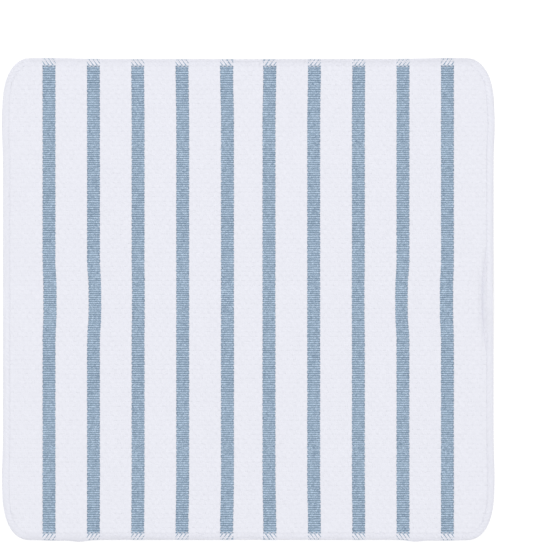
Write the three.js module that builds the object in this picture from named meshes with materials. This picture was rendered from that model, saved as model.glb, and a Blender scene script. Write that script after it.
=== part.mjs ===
// Flat woven dishcloth: white terry bands between narrow flat-woven blue stripes, cut with rounded
// corners and overlocked all round. Millimetres, +Z up. The stripes run along Y and the cloth lies
// on its flat underside, with the origin in the middle of it.

import * as THREE from "three";

// The cloth as cut
const clothWidth = 330; // across the stripes
const clothLength = 323.6; // along the stripes
const cornerAcross = 18; // size of a rounded corner across the stripes
const cornerAlong = 30; // and along them
const cornerFullness = 2.2; // exponent of its curve; a quarter ellipse has 2

// Stripes, placed from the middle outwards
const stripesEachSide = 5;
const stripeWidth = 8.8;
const stripePitch = 29.95;
const middlePitch = 27.8; // the two middle stripes lie a little closer

// Thickness of the woven panel
const stripeThickness = 1.6; // flat weave
const bandThickness = 2.3; // terry, beside a stripe
const bandCrown = 0.3; // rise of a terry band to its middle
const stepWidth = 1.2; // slope between stripe and band

// Overlocked edge, from the needle line outwards and round to the underside
const panelInset = 5.8; // the panel ends here, measured in from the cut edge
const edgeRings = [
  { inset: 4.7, height: 1.3, crest: 0, seam: 1 }, // needle line, pulled down by its thread
  { inset: 3.7, height: 1.9, crest: 0.5, seam: 0.6 },
  { inset: 2.3, height: 2.2, crest: 1, seam: 0 }, // crest of the thread
  { inset: 0.8, height: 1.8, crest: 1, seam: 0 },
  { inset: 0.0, height: 0.9, crest: 0.6, seam: 0 }, // cut edge
  { inset: 0.7, height: 0.0, crest: 0, seam: 0 }, // underside
];

// Gentle swells of the cut edge: where along it, how far out and how long
const sideSwells = [
  { at: 118, out: 0.8, spread: 15 },
  { at: -120, out: 0.7, spread: 15 },
];
const topSwells = [
  { at: -135, out: 0.75, spread: 22 },
  { at: 135, out: 0.75, spread: 22 },
];
const bottomSwells = [
  { at: -127.5, out: 0.5, spread: 14 },
  { at: -113, out: 1.0, spread: 6 },
  { at: 112, out: 0.95, spread: 5.5 },
  { at: 129, out: 0.5, spread: 16 },
];

// Two faint fold marks cross the cloth near its middle and draw the outer stripes in between them
const foldMarks = [
  { at: 9.9, depth: 0.25, spread: 5 },
  { at: -11.6, depth: 0.25, spread: 5 },
];
const drawIn = { amount: 1.08, at: 113, acrossSpread: 28, alongSpread: 19.5 };

// The right-hand edge is puckered near its middle: a crease bows in beside it, the panel slopes down
// to the crease from a low shoulder, and the edge stands up
const pucker = { at: 0, half: 35.5, bow: 2.6, sink: 0.6, slope: 0.7, shoulder: 0.4, rise: 0.8 };

// Mesh steps
const cornerSteps = 6;
const rowSpacing = 18;
const outerShare = 0.6; // the column between the last stripe and the edge

// Colours of the yarns
const whiteYarn = new THREE.Color(0xebecf4);
const blueYarn = new THREE.Color(0x9bafc3);
const yarnRoughness = 0.95;

const halfWidth = clothWidth / 2;
const halfLength = clothLength / 2;
const cornerCentre = { x: halfWidth - cornerAcross, y: halfLength - cornerAlong };

const swell = (distance, spread) => Math.exp(-((distance / spread) ** 2));

// How strongly the pucker is felt at a height on the right-hand edge
const puckered = (y) => Math.max(0, 1 - ((y - pucker.at) / pucker.half) ** 2);

const foldMiddle = foldMarks.reduce((sum, m) => sum + m.at, 0) / foldMarks.length;

const stripeCentres = [];
for (let k = 0; k < stripesEachSide; k++) {
  const centre = middlePitch / 2 + k * stripePitch;
  stripeCentres.push(-centre, centre);
}
stripeCentres.sort((a, b) => a - b);

// How far a place lies outside its nearest stripe; negative inside the stripe
function outsideStripe(x) {
  return Math.min(...stripeCentres.map((c) => Math.abs(x - c))) - stripeWidth / 2;
}

// Height of the panel's upper face over the underside
function panelHeight(x, y) {
  const outside = outsideStripe(x);
  const step = THREE.MathUtils.smoothstep(outside, -stepWidth / 2, stepWidth / 2);
  const bandHalf = (stripePitch - stripeWidth) / 2;
  const crown = bandCrown * Math.sin((Math.PI / 2) * THREE.MathUtils.clamp(outside / bandHalf, 0, 1));
  const folds = foldMarks.reduce((sum, m) => sum + m.depth * swell(y - m.at, m.spread), 0);
  return THREE.MathUtils.lerp(stripeThickness, bandThickness, step) + crown - folds * step;
}

// Shift of a place towards the cloth's middle line, even from one fold mark to the other
function drawnIn(x, y) {
  const along = Math.exp(-(((y - foldMiddle) / drawIn.alongSpread) ** 4));
  return -Math.sign(x) * drawIn.amount * swell(Math.abs(x) - drawIn.at, drawIn.acrossSpread) * along;
}

// Stations down the right-hand edge, from the top corner to the bottom one, with outward normals
function edgeStations() {
  const stations = [];
  for (let k = 0; k < cornerSteps; k++) {
    const across = Math.sin((Math.PI / 2) * (k / cornerSteps)) ** (2 / cornerFullness);
    const along = Math.cos((Math.PI / 2) * (k / cornerSteps)) ** (2 / cornerFullness);
    const normal = new THREE.Vector2(
      across ** (cornerFullness - 1) / cornerAcross,
      along ** (cornerFullness - 1) / cornerAlong,
    );
    stations.push({
      point: new THREE.Vector2(
        cornerCentre.x + cornerAcross * across,
        cornerCentre.y + cornerAlong * along,
      ),
      normal: normal.normalize(),
    });
  }
  const heights = foldMarks.flatMap((m) => [m.at - m.spread, m.at, m.at + m.spread]);
  const firstFold = Math.max(...heights) + rowSpacing / 2;
  const lastFold = Math.min(...heights) - rowSpacing / 2;
  const straightRows = Math.round((cornerCentre.y - firstFold) / rowSpacing);
  for (let k = 0; k <= straightRows; k++) {
    heights.push(THREE.MathUtils.lerp(cornerCentre.y, firstFold, k / straightRows));
    heights.push(THREE.MathUtils.lerp(-cornerCentre.y, lastFold, k / straightRows));
  }
  heights.sort((a, b) => b - a);
  for (const y of heights) {
    stations.push({ point: new THREE.Vector2(halfWidth, y), normal: new THREE.Vector2(1, 0) });
  }
  const lowerCorner = stations.slice(0, cornerSteps).reverse();
  for (const { point, normal } of lowerCorner) {
    stations.push({
      point: new THREE.Vector2(point.x, -point.y),
      normal: new THREE.Vector2(normal.x, -normal.y),
    });
  }
  return stations;
}

// Columns that keep their place from top to bottom: both steps of every stripe and each band's middle
function innerColumns() {
  const columns = [];
  for (const centre of stripeCentres) {
    for (const side of [-1, 1]) {
      const border = centre + (side * stripeWidth) / 2;
      columns.push(border - stepWidth / 2, border + stepWidth / 2);
    }
  }
  for (let k = 1; k < stripeCentres.length; k++) {
    columns.push((stripeCentres[k - 1] + stripeCentres[k]) / 2);
  }
  return columns.sort((a, b) => a - b);
}

function buildCloth() {
  const stations = edgeStations();
  const columns = innerColumns();
  const lastColumn = columns.at(-1);
  const acrossCount = columns.length + 4;
  const rowCount = stations.length;
  const positions = [];
  const colours = [];
  const triangles = [];

  const addPoint = (x, y, z) => {
    positions.push(x, y, z);
    const blue = outsideStripe(x) < 0 && Math.abs(y) < halfLength - panelInset + stepWidth;
    (blue ? blueYarn : whiteYarn).toArray(colours, colours.length);
    return positions.length / 3 - 1;
  };
  const addQuad = (a, b, c, d) => triangles.push(a, b, c, a, c, d);

  // The places across one row of the panel, out to the panel's end on either side
  const rowPlaces = (j) => {
    const { point, normal } = stations[j];
    const end = point.x - panelInset * normal.x;
    const outer = THREE.MathUtils.lerp(lastColumn, end, outerShare);
    return [-end, -outer, ...columns, outer, end];
  };

  // Swells and draw-in of the cut edge at one of its points
  const edgeShift = (x, y, onSide) => {
    const swells = onSide ? sideSwells : y < 0 ? bottomSwells : topSwells;
    const place = onSide ? y : x;
    const out = swells.reduce((sum, s) => sum + s.out * swell(place - s.at, s.spread), 0);
    return onSide
      ? new THREE.Vector2(Math.sign(x) * out + drawnIn(x, y), 0)
      : new THREE.Vector2(0, Math.sign(y) * out);
  };

  // Woven panel, row by row from the top
  const grid = [];
  const rim = new Map();
  for (let j = 0; j < rowCount; j++) {
    const { point, normal } = stations[j];
    const y = point.y - panelInset * normal.y;
    const endRow = j === 0 || j === rowCount - 1;
    grid.push(
      rowPlaces(j).map((x, i) => {
        const onSide = i === 0 || i === acrossCount - 1;
        const shift = new THREE.Vector2(drawnIn(x, y), 0);
        if (onSide || endRow) {
          const side = onSide ? Math.sign(x) : 0;
          const outward = onSide
            ? new THREE.Vector2(side * normal.x, normal.y)
            : new THREE.Vector2(0, Math.sign(y));
          const cut = onSide ? new THREE.Vector2(side * point.x, point.y) : new THREE.Vector2(x, point.y);
          shift.copy(edgeShift(cut.x, cut.y, onSide));
          rim.set(`${i},${j}`, { cut: cut.add(shift), outward });
          if (side > 0) shift.x -= pucker.bow * puckered(y);
        }
        let lift = 0;
        if (i === acrossCount - 1) lift = -pucker.slope * puckered(y);
        if (i === acrossCount - 2) lift = pucker.shoulder * puckered(y);
        return addPoint(x + shift.x, y + shift.y, panelHeight(x, y) + lift);
      }),
    );
  }
  for (let j = 1; j < rowCount; j++) {
    for (let i = 1; i < acrossCount; i++) {
      addQuad(grid[j][i - 1], grid[j][i], grid[j - 1][i], grid[j - 1][i - 1]);
    }
  }

  // The panel's border, anticlockwise from the bottom left
  const border = [];
  for (let i = 0; i < acrossCount - 1; i++) border.push([i, rowCount - 1]);
  for (let j = rowCount - 1; j > 0; j--) border.push([acrossCount - 1, j]);
  for (let i = acrossCount - 1; i > 0; i--) border.push([i, 0]);
  for (let j = 0; j < rowCount - 1; j++) border.push([0, j]);

  // Overlocked edge, ring by ring outwards from the panel
  let inner = border.map(([i, j]) => grid[j][i]);
  for (const ring of edgeRings) {
    const outer = border.map(([i, j]) => {
      const { cut, outward } = rim.get(`${i},${j}`);
      const felt = outward.x > 0 ? puckered(cut.y) : 0;
      const inset = ring.inset + pucker.bow * ring.seam * felt;
      const lift = (pucker.rise * ring.crest - pucker.sink * ring.seam) * felt;
      return addPoint(cut.x - inset * outward.x, cut.y - inset * outward.y, ring.height + lift);
    });
    for (let k = 0; k < border.length; k++) {
      const next = (k + 1) % border.length;
      addQuad(inner[k], outer[k], outer[next], inner[next]);
    }
    inner = outer;
  }

  // Flat underside, a fan about its middle
  const middle = addPoint(0, 0, 0);
  for (let k = 0; k < border.length; k++) {
    triangles.push(middle, inner[(k + 1) % border.length], inner[k]);
  }

  const geometry = new THREE.BufferGeometry();
  geometry.setAttribute("position", new THREE.Float32BufferAttribute(positions, 3));
  geometry.setAttribute("color", new THREE.Float32BufferAttribute(colours, 3));
  geometry.setIndex(triangles);

  // The swells are uneven, so the origin is set to the middle of the whole outline
  geometry.computeBoundingBox();
  const centre = geometry.boundingBox.getCenter(new THREE.Vector3());
  geometry.translate(-centre.x, -centre.y, 0);
  geometry.computeVertexNormals();
  return geometry;
}

const cottonTerry = new THREE.MeshStandardMaterial({
  vertexColors: true,
  roughness: yarnRoughness,
  metalness: 0,
});

const cloth = new THREE.Mesh(buildCloth(), cottonTerry);
cloth.name = "dishcloth";

const part = new THREE.Group();
part.add(cloth);

export default part;
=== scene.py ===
import math

import bpy
import numpy as np
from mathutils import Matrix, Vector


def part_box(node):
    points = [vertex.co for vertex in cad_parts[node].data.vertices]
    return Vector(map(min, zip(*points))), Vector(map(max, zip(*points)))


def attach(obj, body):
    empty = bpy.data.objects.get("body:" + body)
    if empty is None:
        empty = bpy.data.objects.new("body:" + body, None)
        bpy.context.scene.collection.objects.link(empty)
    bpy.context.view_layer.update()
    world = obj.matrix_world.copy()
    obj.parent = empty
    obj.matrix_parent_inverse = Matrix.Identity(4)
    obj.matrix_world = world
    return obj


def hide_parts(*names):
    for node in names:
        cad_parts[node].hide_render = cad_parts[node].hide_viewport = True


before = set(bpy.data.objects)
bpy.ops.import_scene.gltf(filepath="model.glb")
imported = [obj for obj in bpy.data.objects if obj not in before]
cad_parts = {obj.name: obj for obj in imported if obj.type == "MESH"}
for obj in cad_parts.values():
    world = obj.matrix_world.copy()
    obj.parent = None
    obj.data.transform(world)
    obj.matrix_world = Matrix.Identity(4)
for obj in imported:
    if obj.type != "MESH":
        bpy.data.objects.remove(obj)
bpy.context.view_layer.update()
_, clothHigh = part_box("dishcloth")

mm = 0.001
chance = np.random.default_rng(11)

# the cloth as cut and as it lies: u runs across the stripes, v along them
cloth = {
    "width": 330 * mm,
    "length": 323.6 * mm,
    "cornerAcross": 18 * mm,
    "cornerAlong": 30 * mm,
    "cornerFullness": 2.2,  # a plain ellipse has 2
    "needleInset": 4.7 * mm,  # needle line of the overlocking
    "weaveInset": 5.3 * mm,  # the pattern weave starts here
    "sideSwells": [  # of the cut edge: place, out, spread
        (118 * mm, 0.8 * mm, 15 * mm),
        (-120 * mm, 0.7 * mm, 15 * mm),
    ],
    "topSwells": [
        (-135 * mm, 0.75 * mm, 22 * mm),
        (135 * mm, 0.75 * mm, 22 * mm),
    ],
    "bottomSwells": [
        (-127.5 * mm, 0.5 * mm, 14 * mm),
        (-113 * mm, 1.0 * mm, 6 * mm),
        (112 * mm, 0.95 * mm, 5.5 * mm),
        (129 * mm, 0.5 * mm, 16 * mm),
    ],
    "swellReach": 27 * mm,  # how far in from the edge a swell is felt
    "endReach": 7.5 * mm,  # and at the top and bottom, where it widens the overlocking
    "stretch": 0.2 * mm,  # outwards, half way to each side
    "foldMarks": [(9.9 * mm, 0.25 * mm, 5 * mm), (-11.6 * mm, 0.25 * mm, 5 * mm)],  # place, depth, spread
    "foldFade": (4 * mm, 9 * mm),  # insets over which the marks begin
    "drawIn": 1.08 * mm,  # the stripes near the sides, towards the middle between the fold marks
    "drawInAt": 113 * mm,
    "drawInAcross": 28 * mm,
    "drawInAlong": 19.5 * mm,
    "splay": 0.58 * mm,  # the middle stripes, outwards at both ends
    "splayFrom": 118 * mm,
    "splayTo": 155 * mm,
    "splayRise": (0 * mm, 12 * mm),  # across the cloth it grows and fades again
    "splayFade": (10 * mm, 125 * mm),
    "puckerAt": 0 * mm,  # a crease bows in beside the right-hand edge, and the edge stands up
    "puckerHalf": 35.5 * mm,
    "creaseBow": 2.7 * mm,
    "creaseSink": 1.8 * mm,
    "creaseSharp": 3,
    "creaseRunOut": 0.35,  # a low power keeps the crease deep until near its ends
    "creaseGap": 0.25 * mm,  # half, between the strands on its two sides
    "creaseReach": 4.2 * mm,  # of its slope into the cloth
    "shoulder": 0.8 * mm,
    "shoulderAt": 1.5,  # in reaches of the crease, as is its spread
    "shoulderSpread": 0.8,
    "edgeRise": 1.7 * mm,
    "edgeCrest": 0.6 * mm,
    "edgeDraw": 0.36 * mm,  # and is drawn in
    "seamSlack": 0.3 * mm,  # the needle line is drawn down less there
    "endSlack": 0.25 * mm,  # and along the top and bottom
    "endSlackFrom": 12 * mm,  # inside the cut edge
    "endSlackFull": 8 * mm,
    "seamSpread": 0.6 * mm,
    "floorGap": 0.02 * mm,
}
halfWidth = cloth["width"] / 2
halfLength = cloth["length"] / 2
weaveLength = cloth["length"] - 2 * cloth["weaveInset"]
cornerU = halfWidth - cloth["cornerAcross"]
cornerV = halfLength - cloth["cornerAlong"]
clothMiddle = clothHigh.y - halfLength - max(out for _, out, _ in cloth["topSwells"])
foldMiddle = sum(at for at, _, _ in cloth["foldMarks"]) / len(cloth["foldMarks"])

stripe = {
    "eachSide": 5,
    "width": 8.8 * mm,
    "pitch": 29.95 * mm,
    "middlePitch": 27.8 * mm,
    "ribs": 208,
    "closerAt": (-96.6 * mm, 0 * mm, 96.6 * mm),  # the ribs lie closer at these places along it
    "closer": 0.12,  # share by which they do
    "closerSpread": 11 * mm,
}
stripeCentres = sorted(
    side * (stripe["middlePitch"] / 2 + k * stripe["pitch"])
    for k in range(stripe["eachSide"])
    for side in (-1, 1)
)


def swell(distance, spread):
    return np.exp(-((distance / spread) ** 2))


def ease(value, low, high):
    t = np.clip((value - low) / (high - low), 0, 1)
    return t * t * (3 - 2 * t)


# places of the ribs along a stripe
def ribPlaces():
    v = np.linspace(-weaveLength / 2, weaveLength / 2, 2001)
    crowding = sum(swell(v - at, stripe["closerSpread"]) for at in stripe["closerAt"])
    passed = np.cumsum(1 + stripe["closer"] * crowding)
    order = (np.arange(stripe["ribs"]) + 0.5) / stripe["ribs"]
    return np.interp(order * passed[-1], passed, v)


ribAlong = ribPlaces()


# how far inside the cut edge a place lies
def insetOf(u, v):
    straight = np.minimum(halfWidth - np.abs(u), halfLength - np.abs(v))
    p = np.maximum(np.abs(u) - cornerU, 0) / cloth["cornerAcross"]
    q = np.maximum(np.abs(v) - cornerV, 0) / cloth["cornerAlong"]
    full = cloth["cornerFullness"]
    r = np.maximum((p**full + q**full) ** (1 / full), 1e-6)
    steep = np.hypot(p ** (full - 1) / cloth["cornerAcross"], q ** (full - 1) / cloth["cornerAlong"])
    slope = steep * r ** (1 - full)
    rounded = (1 - r) / np.maximum(slope, 1e-6)
    return np.where((p > 0) & (q > 0), np.minimum(straight, rounded), straight)


# how strong the pucker is at a place, and the inset of its crease
def puckerOf(u, v):
    pucker = np.clip(1 - ((v - cloth["puckerAt"]) / cloth["puckerHalf"]) ** 2, 0, 1) * (u > 0)
    return pucker, cloth["needleInset"] + cloth["creaseBow"] * pucker


# where a place of the flat cloth lies: x, y and how much it is lifted
def lay(u, v):
    side = np.sign(u)
    out = np.abs(u)
    inset = insetOf(u, v)
    x = u + side * cloth["stretch"] * np.sin(math.pi * np.clip(out / halfWidth, 0, 1))
    y = v + clothMiddle
    atFolds = np.exp(-(((v - foldMiddle) / cloth["drawInAlong"]) ** 4))
    x -= side * cloth["drawIn"] * swell(out - cloth["drawInAt"], cloth["drawInAcross"]) * atFolds
    atEnds = ease(np.abs(v), cloth["splayFrom"], cloth["splayTo"])
    splayed = ease(out, *cloth["splayRise"]) * (1 - ease(out, *cloth["splayFade"]))
    x += side * cloth["splay"] * atEnds * splayed
    sideShare = ease(out, halfWidth - cloth["swellReach"], halfWidth)
    for at, far, spread in cloth["sideSwells"]:
        x += side * far * swell(v - at, spread) * sideShare
    for swells, way in (("topSwells", 1), ("bottomSwells", -1)):
        endShare = ease(way * v, halfLength - cloth["endReach"], halfLength)
        for at, far, spread in cloth[swells]:
            y += way * far * swell(u - at, spread) * endShare
    pucker, crease = puckerOf(u, v)
    x -= cloth["edgeDraw"] * pucker * (1 - ease(inset, cloth["edgeCrest"], crease))
    inwards = np.clip((inset - crease) / cloth["creaseReach"], 0, None)
    outwards = np.clip((crease - inset) / (crease - cloth["edgeCrest"]), 0, 1)
    slope = np.clip(1 - inwards, 0, 1) * (1 - outwards)
    shoulder = cloth["shoulder"] * swell(inwards - cloth["shoulderAt"], cloth["shoulderSpread"])
    rise = shoulder + cloth["edgeRise"] * (1 - (1 - outwards) ** 2)
    sink = cloth["creaseSink"] * slope ** cloth["creaseSharp"]
    lift = pucker * rise - pucker ** cloth["creaseRunOut"] * sink
    nearEnd = ease(np.abs(v), halfLength - cloth["endSlackFrom"], halfLength - cloth["endSlackFull"])
    slack = cloth["seamSlack"] * pucker + cloth["endSlack"] * nearEnd
    lift = lift + slack * swell(inset - cloth["needleInset"], cloth["seamSpread"])
    for at, depth, spread in cloth["foldMarks"]:
        lift = lift - depth * swell(v - at, spread) * ease(inset, *cloth["foldFade"])
    return x, y, lift


# a mesh from flat places (u, v, z), laid on the surface; the flat places become its UV map
def layMesh(name, places, faces, values=None):
    x, y, lift = lay(places[:, 0], places[:, 1])
    points = np.stack([x, y, np.maximum(places[:, 2] + lift, cloth["floorGap"])], axis=1)
    return plainMesh(name, points, faces, places[:, :2], values)


def plainMesh(name, points, faces, flat, values=None):
    mesh = bpy.data.meshes.new(name)
    mesh.from_pydata(points.tolist(), [], faces)
    corners = np.zeros(len(mesh.loops), np.int32)
    mesh.loops.foreach_get("vertex_index", corners)
    mesh.uv_layers.new(name="flat").data.foreach_set("uv", flat[corners].astype(np.float32).ravel())
    for label, numbers in (values or {}).items():
        mesh.attributes.new(label, "FLOAT", "POINT").data.foreach_set("value", numbers.astype(np.float32))
    mesh.update()
    piece = bpy.data.objects.new(name, mesh)
    bpy.context.collection.objects.link(piece)
    return piece


# one strand, modelled as a bar of two units along Y with rings at the cuts
def modelStrand(sides, cuts):
    bpy.ops.object.select_all(action="DESELECT")
    bpy.ops.mesh.primitive_cylinder_add(vertices=sides, radius=1, depth=2, rotation=(math.pi / 2, 0, 0))
    bpy.ops.object.transform_apply(location=False, rotation=True, scale=False)
    bpy.ops.object.mode_set(mode="EDIT")
    for cut in cuts:
        bpy.ops.mesh.select_all(action="SELECT")
        bpy.ops.mesh.bisect(plane_co=(0, cut, 0), plane_no=(0, 1, 0))
    return takeShape()


# reads the model just made and clears it away
def takeShape():
    bpy.ops.object.mode_set(mode="OBJECT")
    model = bpy.context.object
    points = np.array([v.co for v in model.data.vertices])
    faces = [list(p.vertices) for p in model.data.polygons]
    mesh = model.data
    bpy.data.objects.remove(model)
    bpy.data.meshes.remove(mesh)
    return points, faces


# faces of many copies of one shape
def copyFaces(faces, count, size):
    made = []
    for face in faces:
        made += (np.array(face)[None] + size * np.arange(count)[:, None]).tolist()
    return made


# a shade for each of so many strands, given to all points of each
def toneOf(count, spread, size):
    return np.repeat(np.clip(0.5 + spread * chance.normal(0, 1, count), 0, 1), size)


# woven ground, a closed thin sheet
panel = {
    "step": 2.4 * mm,
    "outerSteps": 40,  # columns between the last stripe and the edge, closer towards the edge
    "outerCloser": 1.5,
    "cornerSteps": 14,
    "bandMargin": 0.5 * mm,  # first column beside a stripe's border
    "stripeMargin": 0.2 * mm,
    "bandTop": 1.9 * mm,
    "crown": 0.3 * mm,  # rise of a white band to its middle
    "stripeTop": 1.15 * mm,
    "ramp": (-0.1 * mm, 0.5 * mm),  # from the stripe's level to the band's, about the border
    "underside": 0.30 * mm,
    "edge": [  # inset and height, over the cut edge and back under
        (5.02 * mm, 1.80 * mm),
        (4.66 * mm, 1.68 * mm),
        (4.32 * mm, 1.76 * mm),
        (3.50 * mm, 1.83 * mm),
        (2.40 * mm, 1.86 * mm),
        (1.00 * mm, 1.62 * mm),
        (0.42 * mm, 1.15 * mm),
        (0.33 * mm, 0.78 * mm),
        (0.55 * mm, 0.45 * mm),
        (1.40 * mm, 0.34 * mm),
        (4.70 * mm, 0.32 * mm),
    ],
}


def fromStripe(u):
    return np.min([np.abs(u - c) for c in stripeCentres], axis=0) - stripe["width"] / 2


def crownOf(u):
    bandHalf = (stripe["pitch"] - stripe["width"]) / 2
    return panel["crown"] * np.sin(math.pi / 2 * np.clip(fromStripe(u) / bandHalf, 0, 1))


# the right-hand cut edge from top to bottom, with outward normals
def cutEdge(cornerSteps, step):
    angle = np.linspace(0, math.pi / 2, cornerSteps + 1)
    full = cloth["cornerFullness"]
    p, q = np.sin(angle) ** (2 / full), np.abs(np.cos(angle)) ** (2 / full)
    u = cornerU + cloth["cornerAcross"] * p
    v = cornerV + cloth["cornerAlong"] * q
    steepU, steepV = p ** (full - 1) / cloth["cornerAcross"], q ** (full - 1) / cloth["cornerAlong"]
    n = np.stack([steepU, steepV], axis=1)
    n /= np.linalg.norm(n, axis=1)[:, None]
    rows = np.linspace(cornerV, -cornerV, round(2 * cornerV / step) + 1)[1:-1]
    points = np.concatenate([
        np.stack([u, v], axis=1),
        np.stack([np.full(len(rows), halfWidth), rows], axis=1),
        np.stack([u, -v], axis=1)[::-1],
    ])
    normals = np.concatenate([n, np.tile((1.0, 0.0), (len(rows), 1)), (n * (1, -1))[::-1]])
    return points, normals


def makePanel():
    points, normals = cutEdge(panel["cornerSteps"], panel["step"])
    ends = points - cloth["weaveInset"] * normals
    borders = np.array([c + side * stripe["width"] / 2 for c in stripeCentres for side in (-1, 1)])
    inner = []
    for k in range(len(borders) - 1):
        margin = panel["bandMargin"] if k % 2 else panel["stripeMargin"]
        low, high = borders[k] + margin, borders[k + 1] - margin
        inner.append(np.linspace(low, high, round((high - low) / panel["step"]) + 1))
    inner = np.concatenate(inner)
    last = inner[-1]
    shares = 1 - np.linspace(1, 0, panel["outerSteps"] + 1)[1:] ** panel["outerCloser"]
    grid = []
    for end, v in ends:
        outer = last + shares * (end - last)
        u = np.concatenate([-outer[::-1], inner, outer])
        grid.append(np.stack([u, np.full(len(u), v)], axis=1))
    grid = np.array(grid)
    rows, across = grid.shape[:2]
    number = np.arange(rows * across).reshape(rows, across)
    flatTop = grid.reshape(-1, 2)
    white = ease(fromStripe(flatTop[:, 0]), *panel["ramp"])
    top = panel["stripeTop"] + (panel["bandTop"] + crownOf(flatTop[:, 0]) - panel["stripeTop"]) * white
    quads = np.stack([number[1:, :-1], number[1:, 1:], number[:-1, 1:], number[:-1, :-1]], axis=-1)
    quads = quads.reshape(-1, 4)
    # border of the grid, anticlockwise from the bottom left, with its cut edge and normals
    border = np.concatenate([number[-1, :-1], number[:0:-1, -1], number[0, :0:-1], number[:-1, 0]])
    j, i = border // across, border % across
    side = np.where(i == 0, -1.0, np.where(i == across - 1, 1.0, 0.0))
    edgeU = np.where(side == 0, flatTop[border, 0], side * points[j, 0])
    edge = np.stack([edgeU, points[j, 1]], axis=1)
    upright = np.where(j == 0, 1.0, -1.0)
    outward = np.stack([side * normals[j, 0], np.where(side == 0, upright, normals[j, 1])], axis=1)
    places = [np.column_stack([flatTop, top])]
    faces = quads.tolist()
    ring = border
    count = len(flatTop)
    for inset, height in panel["edge"]:
        placed = edge - inset * outward
        places.append(np.column_stack([placed, np.full(len(placed), height)]))
        newRing = count + np.arange(len(border))
        faces += np.stack([ring, newRing, np.roll(newRing, -1), np.roll(ring, -1)], axis=1).tolist()
        ring = newRing
        count += len(border)
    # underside on the same grid
    places.append(np.column_stack([flatTop, np.full(len(flatTop), panel["underside"])]))
    under = count + border
    faces += np.stack([ring, under, np.roll(under, -1), np.roll(ring, -1)], axis=1).tolist()
    faces += (count + quads[:, ::-1]).tolist()
    return layMesh("wovenPanel", np.concatenate(places), faces)


wovenPanel = makePanel()
print("woven panel:", len(wovenPanel.data.polygons), "faces")

# white bands: blocks of three raised warp loops, checkered with blocks of two low weft floats
weave = {
    "blockAcross": 2.35 * mm,
    "rows": 100,  # blocks along the cloth
    "loops": 3,
    "floats": 2,
    "sides": 3,  # of a strand
    "loopRings": (-0.45, 0.45),  # rings cut round a strand of two units
    "floatRings": (0,),
    "hump": 2.2,  # a higher power gives a flatter back
    "loopTop": 2.28 * mm,
    "floatTop": 2.22 * mm,
    "loopFoot": 1.86 * mm,
    "floatFoot": 1.97 * mm,
    "loopHalf": (1.72 * mm, 0.60 * mm, 0.20 * mm),  # half length, width and thickness
    "floatHalf": (1.34 * mm, 1.06 * mm, 0.19 * mm),
    "tooth": (0.95 * mm, 0.62 * mm, 0.24 * mm),  # white ends lapping over the stripes
    "toothTop": 1.98 * mm,
    "toothFoot": 1.50 * mm,
    "toothOut": 0.45 * mm,
    "clear": 0.13 * mm,  # between a stripe's border and the blocks
    "leastRoom": 0.15 * mm,  # a strand with less is left out
    "wander": 0.06 * mm,
    "uneven": 0.02 * mm,
    "toneSpread": 0.25,
}
loopShape = modelStrand(weave["sides"], weave["loopRings"])
floatShape = modelStrand(weave["sides"], weave["floatRings"])
rowAlong = weaveLength / weave["rows"]


# room to the needle line and to the crease, on the crease's given side
def roomOf(u, v, side):
    inset = insetOf(u, v)
    _, crease = puckerOf(u, v)
    return np.minimum(inset - cloth["weaveInset"], side * (inset - crease) - cloth["creaseGap"])


# copies of one strand shape at the given places, humped from foot to top; none crosses
# the needle line or the crease
def spreadStrands(shape, u, v, top, foot, half, crosswise):
    points, faces = shape
    across, run, up = points.T
    long, wide, thick = half
    side = np.where(insetOf(u, v) > puckerOf(u, v)[1], 1, -1)
    room = roomOf(u, v, side)
    inside = room > weave["leastRoom"]
    u, v, top, foot, side, room = (a[inside] for a in (u, v, top, foot, side, room))
    reach = []
    for way in (-long, long):
        ahead = roomOf(u + way * crosswise, v + way * (not crosswise), side)
        reach.append(way * np.where(ahead < 0, room / np.maximum(room - ahead, 1e-9), 1)[:, None])
    shift = chance.normal(0, weave["wander"], (len(u), 2, 1))
    lean = chance.normal(0, weave["wander"], (len(u), 1)) * run
    forth = np.where(run < 0, reach[0], reach[1]) * np.abs(run)
    aside = across * wide + lean
    du, dv = (forth, -aside) if crosswise else (aside, forth)
    rise = top - thick - foot + chance.normal(0, weave["uneven"], len(u))
    z = foot[:, None] + rise[:, None] * (1 - np.abs(run) ** weave["hump"]) + thick * up
    places = np.stack([u[:, None] + shift[:, 0] + du, v[:, None] + shift[:, 1] + dv, z], axis=-1)
    return {
        "places": places.reshape(-1, 3),
        "faces": copyFaces(faces, len(u), len(points)),
        "tone": toneOf(len(u), weave["toneSpread"], len(points)),
        # painted shade for the blue yarn: 0 on a strand's lower side, 1 on its top; the white yarns don't
        # read it
        "depth": np.tile((up + 0.5) / 1.5, len(u)),
    }


# several lots of strands in one mesh
def joinStrands(name, lots):
    faces = []
    start = 0
    for lot in lots:
        faces += [[n + start for n in face] for face in lot["faces"]]
        start += len(lot["places"])
    values = {label: np.concatenate([lot[label] for lot in lots]) for label in ("tone", "depth")}
    return layMesh(name, np.concatenate([lot["places"] for lot in lots]), faces, values)


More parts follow.
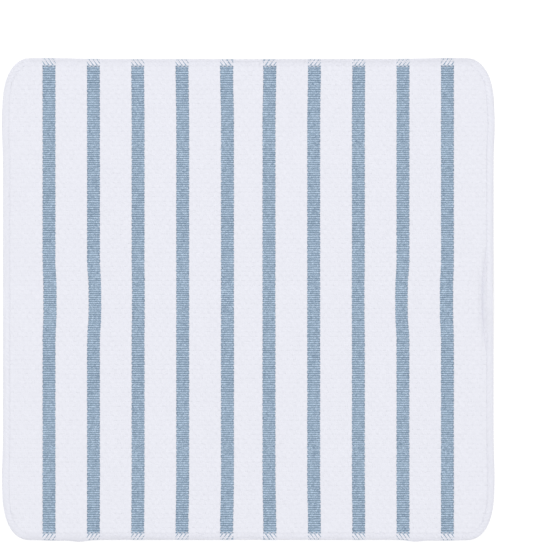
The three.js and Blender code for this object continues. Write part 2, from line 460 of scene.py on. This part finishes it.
def makeBand(number, low, high):
    columns = round((high - low) / weave["blockAcross"])
    across = (high - low) / columns
    i, j = (a.ravel() for a in np.meshgrid(np.arange(columns), np.arange(weave["rows"])))
    blockU = low + (i + 0.5) * across
    blockV = (j + 0.5 - weave["rows"] / 2) * rowAlong
    raised = (i + j) % 2 == 0
    lots = []
    aside = (np.arange(weave["loops"]) - (weave["loops"] - 1) / 2) * across / weave["loops"]
    u = (blockU[raised][:, None] + aside).ravel()
    v = np.repeat(blockV[raised], weave["loops"])
    crown = crownOf(u)
    top, foot = weave["loopTop"] + crown, weave["loopFoot"] + crown
    lots.append(spreadStrands(loopShape, u, v, top, foot, weave["loopHalf"], False))
    aside = (np.arange(weave["floats"]) - (weave["floats"] - 1) / 2) * rowAlong / weave["floats"]
    u = np.repeat(blockU[~raised], weave["floats"])
    v = (blockV[~raised][:, None] + aside).ravel()
    crown = crownOf(u)
    top, foot = weave["floatTop"] + crown, weave["floatFoot"] + crown
    lots.append(spreadStrands(floatShape, u, v, top, foot, weave["floatHalf"], True))
    # teeth at the borders with the stripes, one to every other rib
    v = ribAlong[::2]
    level = np.ones(len(v))
    for border, way in ((low, 1), (high, -1)):
        if abs(border) < stripeCentres[-1] + stripe["width"]:
            u = level * (border + way * weave["toothOut"])
            top, foot = level * weave["toothTop"], level * weave["toothFoot"]
            lots.append(spreadStrands(floatShape, u, v, top, foot, weave["tooth"], True))
    return joinStrands(f"whiteBand{number:02d}", lots)


clearHalf = stripe["width"] / 2 + weave["clear"]
bandEdges = [-halfWidth + cloth["weaveInset"]]
for centre in stripeCentres:
    bandEdges += [centre - clearHalf, centre + clearHalf]
bandEdges.append(halfWidth - cloth["weaveInset"])
whiteBands = [
    makeBand(n + 1, bandEdges[2 * n], bandEdges[2 * n + 1]) for n in range(len(stripeCentres) + 1)
]
print("white bands:", sum(len(b.data.polygons) for b in whiteBands), "faces")

# blue stripes: ribs across, with staggered floats on them; every other rib reaches a little further out
rib = {
    "stagger": 0.15 * mm,
    "fill": 0.9,  # share of its room along the stripe that a rib fills
    "sides": 8,
    "endFrom": 0.9,  # where an end begins, in half lengths, and what its height and width fall to
    "endHeight": 0.45,
    "endWidth": 0.8,
    "base": 1.0 * mm,
    "top": 1.46 * mm,
    "wander": 0.10 * mm,
    "uneven": 0.04 * mm,
    "floats": 6,
    "floatHalf": (0.72 * mm, 0.71 * mm, 0.24 * mm),
    "floatTop": 1.76 * mm,
    "floatFoot": 1.36 * mm,
    "floatOut": 0.35 * mm,  # from the border to the middle of an outermost float
    "shade": 0.6,  # painted shade: the depth value at a rib's crest, where a float's is 1; lower paints the crest darker
    "toneSpread": 0.2,
}


# one rib, modelled as a half-round bar of two units along X with its ends drawn down
def modelRib():
    bpy.ops.object.select_all(action="DESELECT")
    bpy.ops.mesh.primitive_cylinder_add(
        vertices=rib["sides"], radius=1, depth=2, rotation=(0, math.pi / 2, 0)
    )
    bpy.ops.object.transform_apply(location=False, rotation=True, scale=False)
    bpy.ops.object.mode_set(mode="EDIT")
    bpy.ops.mesh.select_all(action="SELECT")
    bpy.ops.mesh.bisect(plane_co=(0, 0, 0), plane_no=(0, 0, 1), clear_inner=True, use_fill=True)
    for cut in (-rib["endFrom"], rib["endFrom"]):
        bpy.ops.mesh.select_all(action="SELECT")
        bpy.ops.mesh.bisect(plane_co=(cut, 0, 0), plane_no=(1, 0, 0))
    points, faces = takeShape()
    endOn = np.abs(points[:, 0]) > 0.99
    points[endOn, 2] *= rib["endHeight"]
    points[endOn, 1] *= rib["endWidth"]
    return points, faces


ribShape = modelRib()


def makeStripe(number, centre):
    points, faces = ribShape
    count = stripe["ribs"]
    halfAlong = rib["fill"] * np.gradient(ribAlong) / 2
    reach = np.where(np.arange(count) % 2 == 0, -rib["stagger"], rib["stagger"])
    half = stripe["width"] / 2 + reach + chance.normal(0, rib["wander"] / 2, count)
    middle = centre + chance.normal(0, rib["wander"], count)
    top = rib["top"] + chance.normal(0, rib["uneven"], count)
    u = middle[:, None] + half[:, None] * points[:, 0]
    v = ribAlong[:, None] + halfAlong[:, None] * points[:, 1]
    z = rib["base"] + (top - rib["base"])[:, None] * points[:, 2]
    bars = {
        "places": np.stack([u, v, z], axis=-1).reshape(-1, 3),
        "faces": copyFaces(faces, count, len(points)),
        "tone": toneOf(count, rib["toneSpread"], len(points)),
        # painted shade: 0 at the rib's foot, rising to its crest
        "depth": np.tile(rib["shade"] * points[:, 2], count),
    }
    lots = [bars]
    for odd in (0, 1):
        floats = rib["floats"] + odd
        aside = (np.arange(floats) - (floats - 1) / 2) * stripe["width"] / rib["floats"]
        outermost = stripe["width"] / 2 - rib["floatOut"]
        aside = np.clip(aside, -outermost, outermost)
        u = (middle[odd::2][:, None] + aside).ravel()
        v = np.repeat(ribAlong[odd::2], floats)
        level = np.ones(len(u))
        top, foot = level * rib["floatTop"], level * rib["floatFoot"]
        lots.append(spreadStrands(floatShape, u, v, top, foot, rib["floatHalf"], True))
    return joinStrands(f"blueStripe{number:02d}", lots)


blueStripes = [makeStripe(n + 1, c) for n, c in enumerate(stripeCentres)]
print("blue stripes:", sum(len(s.data.polygons) for s in blueStripes), "faces")

# overlocking: soft three-ply thread, slanting out from the needle line, over the cut edge and back under
overlock = {
    "pitch": 2.73 * mm,
    "slant": 3.4 * mm,
    "leanTurn": 12 * mm,  # the lean turns in the middle of each side, over this length
    "plies": 3,
    "plyApart": 0.71 * mm,
    "ply": (0.265 * mm, 0.19 * mm),  # half width and half thickness
    "sideFuller": 0.55,  # share by which a ply lies wider along the sides
    "sides": 4,
    "scatter": 0.05 * mm,  # along the edge
    "uneven": 0.03 * mm,
    "endTaper": 0.6,
    "toneSpread": 0.2,
    "cornerSteps": 60,  # fine, for the length of the edge
    "edgeStep": 1 * mm,
    # share of the slant, of the pitch, inset, height, quarter turns it faces out, spread of the plies
    "route": [
        (0.00, 0.0, 4.80 * mm, 1.58 * mm, 0.0, 0.6),
        (0.08, 0.0, 4.30 * mm, 1.80 * mm, 0.0, 0.75),
        (0.30, 0.0, 3.40 * mm, 1.90 * mm, 0.0, 0.95),
        (0.58, 0.0, 2.20 * mm, 1.93 * mm, 0.0, 1.0),
        (0.84, 0.0, 1.00 * mm, 1.69 * mm, 0.3, 1.0),
        (0.96, 0.0, 0.38 * mm, 1.24 * mm, 0.75, 1.0),
        (1.00, 0.0, 0.25 * mm, 0.80 * mm, 1.0, 1.0),
        (0.96, 0.1, 0.55 * mm, 0.38 * mm, 1.6, 1.0),
        (0.50, 0.5, 2.50 * mm, 0.29 * mm, 2.0, 0.8),
        (0.00, 1.0, 4.70 * mm, 0.32 * mm, 2.0, 0.3),
    ],
}


# the whole cut edge, anticlockwise from the middle of the bottom, by its length
def wholeEdge():
    points, normals = cutEdge(overlock["cornerSteps"], overlock["edgeStep"])
    right = np.concatenate([points[::-1], points * (-1, 1)])
    out = np.concatenate([normals[::-1], normals * (-1, 1)])
    start, startOut = np.array([[0, -halfLength]]), np.array([[0, -1.0]])
    loop = np.concatenate([start, right, start])
    loopOut = np.concatenate([startOut, out, startOut])
    along = np.concatenate([[0], np.cumsum(np.linalg.norm(np.diff(loop, axis=0), axis=1))])
    return loop, loopOut, along


edgeLoop, edgeOut, edgeAlong = wholeEdge()
edgeLength = edgeAlong[-1]
stitchCount = 2 * round(edgeLength / overlock["pitch"] / 2)
stitchPitch = edgeLength / stitchCount


def edgePlace(s, inset):
    s = np.mod(s, edgeLength)
    u, v = (np.interp(s, edgeAlong, edgeLoop[:, k]) for k in (0, 1))
    a, b = (np.interp(s, edgeAlong, edgeOut[:, k]) for k in (0, 1))
    return u - inset * a, v - inset * b, a, b


# tubes through rows of points, each with its own facing, closed at both ends
def threadMesh(name, line, facing, half, sides, flat):
    count, rings = line.shape[:2]
    tangent = np.gradient(line, axis=1)
    tangent /= np.linalg.norm(tangent, axis=2)[..., None]
    sideways = np.cross(tangent, facing)
    sideways /= np.linalg.norm(sideways, axis=2)[..., None]
    out = np.cross(sideways, tangent)
    angle = np.arange(sides) * 2 * math.pi / sides
    wide = half[..., 0, None, None] * np.cos(angle)[:, None] * sideways[:, :, None]
    tall = half[..., 1, None, None] * np.sin(angle)[:, None] * out[:, :, None]
    points = line[:, :, None] + wide + tall
    points[..., 2] = np.maximum(points[..., 2], cloth["floorGap"])
    faces = []
    for ring in range(rings - 1):
        for k in range(sides):
            a, b = ring * sides + k, ring * sides + (k + 1) % sides
            faces.append([a, a + sides, b + sides, b])
    faces.append(list(range(sides)))
    faces.append([rings * sides - 1 - k for k in range(sides)])
    size = rings * sides
    tone = toneOf(count, overlock["toneSpread"], size)
    where = np.repeat(flat[:, :, None], sides, axis=2).reshape(-1, 2)
    return plainMesh(name, points.reshape(-1, 3), copyFaces(faces, count, size), where, {"tone": tone})


def makeOverlock():
    stations = np.array(overlock["route"])
    plies = overlock["plies"]
    s = np.repeat((np.arange(stitchCount) + 0.5) * stitchPitch, plies)
    ply = np.tile(np.arange(plies) - (plies - 1) / 2, stitchCount) * overlock["plyApart"]
    quarter = edgeLength / 4
    fromTurn = np.abs(np.mod(s + quarter / 2, quarter) - quarter / 2)
    lean = np.where(s // quarter % 2 == 0, 1, -1) * np.clip(fromTurn / overlock["leanTurn"], 0, 1)
    s = s + chance.normal(0, overlock["scatter"], len(s))
    travel = stations[:, 0] * overlock["slant"] + stations[:, 1] * stitchPitch
    atS = s[:, None] + lean[:, None] * travel + ply[:, None] * stations[:, 5]
    inset = np.repeat(stations[None, :, 2], len(s), axis=0)
    u, v, a, b = edgePlace(atS, inset)
    x, y, lift = lay(u, v)
    turn = stations[:, 4] * math.pi / 2
    upper = np.clip(np.cos(turn), 0, 1)
    line = np.stack([x, y, stations[:, 3] + lift], axis=-1)
    line[..., 2] += chance.normal(0, overlock["uneven"], (len(s), 1)) * upper
    upright = np.broadcast_to(np.cos(turn), a.shape)
    facing = np.stack([a * np.sin(turn), b * np.sin(turn), upright], axis=-1)
    half = np.broadcast_to(np.array(overlock["ply"]), (*line.shape[:2], 2)).copy()
    half[..., 0] *= 1 + overlock["sideFuller"] * np.abs(a)
    half[:, 0] *= overlock["endTaper"]
    half[:, -1] *= overlock["endTaper"]
    return threadMesh("edgeOverlock", line, facing, half, overlock["sides"], np.stack([u, v], axis=-1))


edgeOverlock = makeOverlock()

# threads lying stitch by stitch along the edge: the needle's, and the looper's over the overlocking
chainStitch = {
    "run": (-0.5, -0.36, 0, 0.36, 0.5),  # rings along a stitch
    "taper": (0.5, 1, 1, 1, 0.5),
    "hump": 3,
    "sides": 4,
    "scatter": 0.05 * mm,
}
needle = {
    "inset": 5.12 * mm,
    "stitch": 0.62,  # share of the pitch that shows
    "slant": 0 * mm,
    "low": 1.55 * mm,
    "top": 1.98 * mm,
    "half": (0.26 * mm, 0.20 * mm),
}
looper = {
    "inset": 1.80 * mm,
    "stitch": 1.0,
    "slant": 0.5 * mm,
    "low": 1.94 * mm,
    "top": 2.06 * mm,
    "half": (0.20 * mm, 0.13 * mm),
}


def makeChain(name, chain):
    run = np.array(chainStitch["run"])
    scatter = chainStitch["scatter"]
    s = (np.arange(stitchCount) * stitchPitch)[:, None] + run * chain["stitch"] * stitchPitch
    s = s + chance.normal(0, scatter, (stitchCount, 1))
    inset = chain["inset"] + chance.normal(0, scatter, (stitchCount, 1)) + chain["slant"] * run
    u, v, _, _ = edgePlace(s, inset)
    x, y, lift = lay(u, v)
    height = chain["low"] + (chain["top"] - chain["low"]) * (1 - (2 * np.abs(run)) ** chainStitch["hump"])
    line = np.stack([x, y, height + lift], axis=-1)
    facing = np.broadcast_to((0.0, 0.0, 1.0), line.shape)
    taper = np.array(chainStitch["taper"])
    half = np.broadcast_to(taper[:, None] * np.array(chain["half"]), (*line.shape[:2], 2))
    return threadMesh(name, line, facing, half, chainStitch["sides"], np.stack([u, v], axis=-1))


needleLine = makeChain("needleLine", needle)
looperLine = makeChain("looperLine", looper)
edgeSewing = [edgeOverlock, needleLine, looperLine]
print("edge sewing:", stitchCount, "stitches")

# strands are rounded over their backs and keep their lower edges
smoothAngle = math.radians(80)
onCloth = [*whiteBands, *blueStripes, *edgeSewing]
bpy.ops.object.select_all(action="DESELECT")
for piece in (wovenPanel, *onCloth):
    piece.select_set(True)
bpy.context.view_layer.objects.active = wovenPanel
bpy.ops.object.shade_smooth_by_angle(angle=smoothAngle)


# one socket of a material, so that sums on it can be written as sums
class Wire:
    def __init__(self, finish, socket):
        self.finish = finish
        self.socket = socket

    def maths(self, operation, first, second):
        return self.finish.add("ShaderNodeMath", {"operation": operation}, {0: first, 1: second})

    def __add__(self, other):
        return self.maths("ADD", self, other)

    def __radd__(self, other):
        return self.maths("ADD", other, self)

    def __sub__(self, other):
        return self.maths("SUBTRACT", self, other)

    def __rsub__(self, other):
        return self.maths("SUBTRACT", other, self)

    def __mul__(self, other):
        return self.maths("MULTIPLY", self, other)

    def __rmul__(self, other):
        return self.maths("MULTIPLY", other, self)

    def __truediv__(self, other):
        return self.maths("DIVIDE", self, other)

    def __mod__(self, other):
        return self.maths("FLOORED_MODULO", self, other)

    def __lt__(self, other):
        return self.maths("LESS_THAN", self, other)

    def __abs__(self):
        return self.finish.add("ShaderNodeMath", {"operation": "ABSOLUTE"}, {0: self})

    # rises from 0 to 1 and falls back, once in each unit
    def ridge(self):
        return 1 - abs(self % 1 - 0.5) * 2


class Finish:
    def __init__(self, name, fixed):
        self.material = bpy.data.materials.new(name)
        self.material.use_nodes = True
        self.tree = self.material.node_tree
        self.shader = self.tree.nodes["Principled BSDF"]
        for socket, value in fixed.items():
            self.feed(socket, value)

    def plug(self, socket, value):
        if isinstance(value, Wire):
            self.tree.links.new(value.socket, socket)
        else:
            socket.default_value = value

    def feed(self, name, value):
        self.plug(self.shader.inputs[name], value)

    # any node: its type, its settings, then the values or links of its sockets
    def add(self, kind, settings=None, sockets=None, out=0):
        node = self.tree.nodes.new(kind)
        for key, value in (settings or {}).items():
            setattr(node, key, value)
        for key, value in (sockets or {}).items():
            self.plug(node.inputs[key], value)
        return Wire(self, node.outputs[out])

    def places(self):
        return self.add("ShaderNodeTexCoord", {}, {}, "Object")

    def flat(self):
        return self.add("ShaderNodeUVMap", {"uv_map": "flat"})

    def value(self, name):
        return self.add("ShaderNodeAttribute", {"attribute_name": name}, {}, "Fac")

    def mix(self, share, first, second):
        return self.add("ShaderNodeMix", {"data_type": "RGBA"}, {0: share, 6: first, 7: second}, 2)

    def noise(self, where, scale, detail=2):
        return self.add("ShaderNodeTexNoise", {}, {"Vector": where, "Scale": scale, "Detail": detail})

    # slanting ridges of the yarn's twist
    def twist(self):
        scale = 2 * math.pi / 10 / yarn["twist"]
        settings = {"wave_type": "BANDS", "bands_direction": "DIAGONAL"}
        sockets = {"Vector": self.flat(), "Scale": scale}
        sockets.update({"Distortion": 1.2, "Detail": 1, "Detail Scale": 0.6})
        return self.add("ShaderNodeTexWave", settings, sockets, "Fac")

    def bump(self, height, distance, strength):
        sockets = {"Height": height, "Distance": distance, "Strength": strength}
        self.feed("Normal", self.add("ShaderNodeBump", {}, sockets))


yarn = {
    "white": ((0.712, 0.717, 0.778, 1), (0.756, 0.760, 0.820, 1)),  # darkest and lightest strands
    "blue": ((0.125, 0.194, 0.284, 1), (0.512, 0.640, 0.780, 1)),  # darkest and lightest: painted shade gives the deep one between the ribs and under the floats, painted light gives the pale one on their crests
    "thread": ((0.713, 0.718, 0.778, 1), (0.763, 0.768, 0.830, 1)),
    "fixed": {"Roughness": 0.9, "Sheen Weight": 0.2, "Sheen Roughness": 0.6, "Specular IOR Level": 0.2},
    "fibre": 2600,  # to the metre, as are the flecks and clouds
    "fleck": 1300,
    "cloud": 60,
    "twist": 0.42 * mm,  # from ridge to ridge
    "whiteRelief": (0.06 * mm, 0.5),  # distance and strength
    "blueRelief": (0.07 * mm, 0.45),
    "groundRelief": (0.3 * mm, 0.8),
}


def whiteYarn(name, colours):
    f = Finish(name, yarn["fixed"])
    where = f.places()
    fibre = f.noise(where, yarn["fibre"], 3)
    cloud = f.noise(where, yarn["cloud"])
    f.feed("Base Color", f.mix(f.value("tone") * 0.45 + fibre * 0.35 + cloud * 0.2, *colours))
    f.feed("Roughness", 0.82 + fibre * 0.16)
    f.bump(fibre * 0.6 + f.twist(), *yarn["whiteRelief"])
    return f.material


def blueYarn():
    f = Finish("blueRibYarn", yarn["fixed"])
    where = f.places()
    fibre = f.noise(where, yarn["fibre"], 3)
    fleck = f.noise(where, yarn["fleck"])
    # painted shade: the depth value darkens the blue at each strand's foot and between the ribs and
    # lightens it on the crests; tone and flecks vary it at random
    light = f.value("depth") * 0.72 + f.value("tone") * 0.4 + fleck * 1.3 - 0.7
    f.feed("Base Color", f.mix(light, *yarn["blue"]))
    f.feed("Roughness", 0.82 + fibre * 0.16)
    f.bump(fibre + fleck + f.twist(), *yarn["blueRelief"])
    return f.material


# the ground's own weave, which shows on the underside: checkered blocks, and ribs in the stripes; its
# colour carries painted shade, darker between the strands and ribs and lighter on their crests and the
# raised blocks
def groundWeave():
    f = Finish("groundWeave", yarn["fixed"])
    flat = f.flat()
    across, along = (f.add("ShaderNodeSeparateXYZ", {}, {0: flat}, axis) for axis in ("X", "Y"))
    out = abs(across)
    first, pitch = stripe["middlePitch"] / 2, stripe["pitch"]
    fromCentre = abs((out - first + pitch / 2) % pitch - pitch / 2)
    striped = (fromCentre < stripe["width"] / 2) * (out < stripeCentres[-1] + stripe["width"])
    column, row = across / weave["blockAcross"], along / rowAlong
    oddColumn, oddRow = column % 2 < 1, row % 2 < 1
    raised = abs(oddColumn - oddRow)
    loops = 0.4 + (column * weave["loops"]).ridge() * 0.6
    floats = (row * weave["floats"]).ridge() * 0.6
    ribs = (along * (stripe["ribs"] / weaveLength)).ridge()
    blocks = floats + raised * (loops - floats)
    fibre = f.noise(flat, yarn["fibre"], 3)
    # painted shade: the same ridges that make the bump darken the colour between strands and ribs and
    # lighten their crests
    white = f.mix(fibre * 0.5 + blocks * 0.5, *yarn["white"])
    blue = f.mix(0.1 + ribs * 0.3 + fibre * 0.3, *yarn["blue"])
    f.feed("Base Color", f.mix(striped, white, blue))
    f.feed("Roughness", 0.84 + fibre * 0.14)
    f.bump(blocks + striped * (ribs - blocks) + fibre * 0.2, *yarn["groundRelief"])
    return f.material


clothFinish = whiteYarn("whiteCottonYarn", yarn["white"])
threadFinish = whiteYarn("whiteSewingThread", yarn["thread"])
blueFinish = blueYarn()
wovenPanel.data.materials.append(groundWeave())
for piece in whiteBands:
    piece.data.materials.append(clothFinish)
for piece in blueStripes:
    piece.data.materials.append(blueFinish)
for piece in edgeSewing:
    piece.data.materials.append(threadFinish)
print("finishes done")

# floor, light and camera
studio = {
    "floor": 8.0,
    "floorColour": (0.95, 0.95, 0.955, 1),
    "speckleColour": (0.93, 0.93, 0.935, 1),
    "speckle": 40,  # to the metre
    "sky": 0.86,
    "softbox": 2.4,
    "softboxPlace": (-0.1, 0.45, 2.58),
    "softboxPower": 28.4,
}
bpy.ops.object.select_all(action="DESELECT")
bpy.ops.mesh.primitive_plane_add(size=studio["floor"])
floor = bpy.context.object
floor.name = "floor"
floorFinish = Finish("paleFloor", {"Roughness": 0.9, "Specular IOR Level": 0.1})
speckle = floorFinish.noise(floorFinish.places(), studio["speckle"]) * 0.1
floorFinish.feed("Base Color", floorFinish.mix(speckle, studio["floorColour"], studio["speckleColour"]))
floor.data.materials.append(floorFinish.material)

world = bpy.data.worlds.new("studio")
world.use_nodes = True
background = world.node_tree.nodes["Background"]
background.inputs["Color"].default_value = (1, 1, 1, 1)
background.inputs["Strength"].default_value = studio["sky"]
bpy.context.scene.world = world
bpy.ops.object.light_add(type="AREA", location=studio["softboxPlace"])
softbox = bpy.context.object
softbox.data.size = studio["softbox"]
softbox.data.energy = studio["softboxPower"]
softbox.rotation_euler = (-softbox.location).to_track_quat("-Z", "Y").to_euler()
bpy.context.scene.view_settings.view_transform = "Standard"

photo = {
    "side": 550,  # pixels
    "clothMiddle": (248.2, 299.55),  # pixel of the cloth's middle
    "pixel": 0.671 * mm,
    "lens": 100,
    "sensor": 36,
}
cameraX = (photo["side"] / 2 - photo["clothMiddle"][0]) * photo["pixel"]
cameraY = clothMiddle + (photo["clothMiddle"][1] - photo["side"] / 2) * photo["pixel"]
cameraZ = clothHigh.z + photo["side"] * photo["pixel"] * photo["lens"] / photo["sensor"]
bpy.ops.object.camera_add(location=(cameraX, cameraY, cameraZ), rotation=(0, 0, 0))
camera = bpy.context.object
camera.data.lens = photo["lens"]
camera.data.sensor_width = photo["sensor"]
bpy.context.scene.camera = camera

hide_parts("dishcloth")
for piece in (wovenPanel, *onCloth):
    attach(piece, "root")
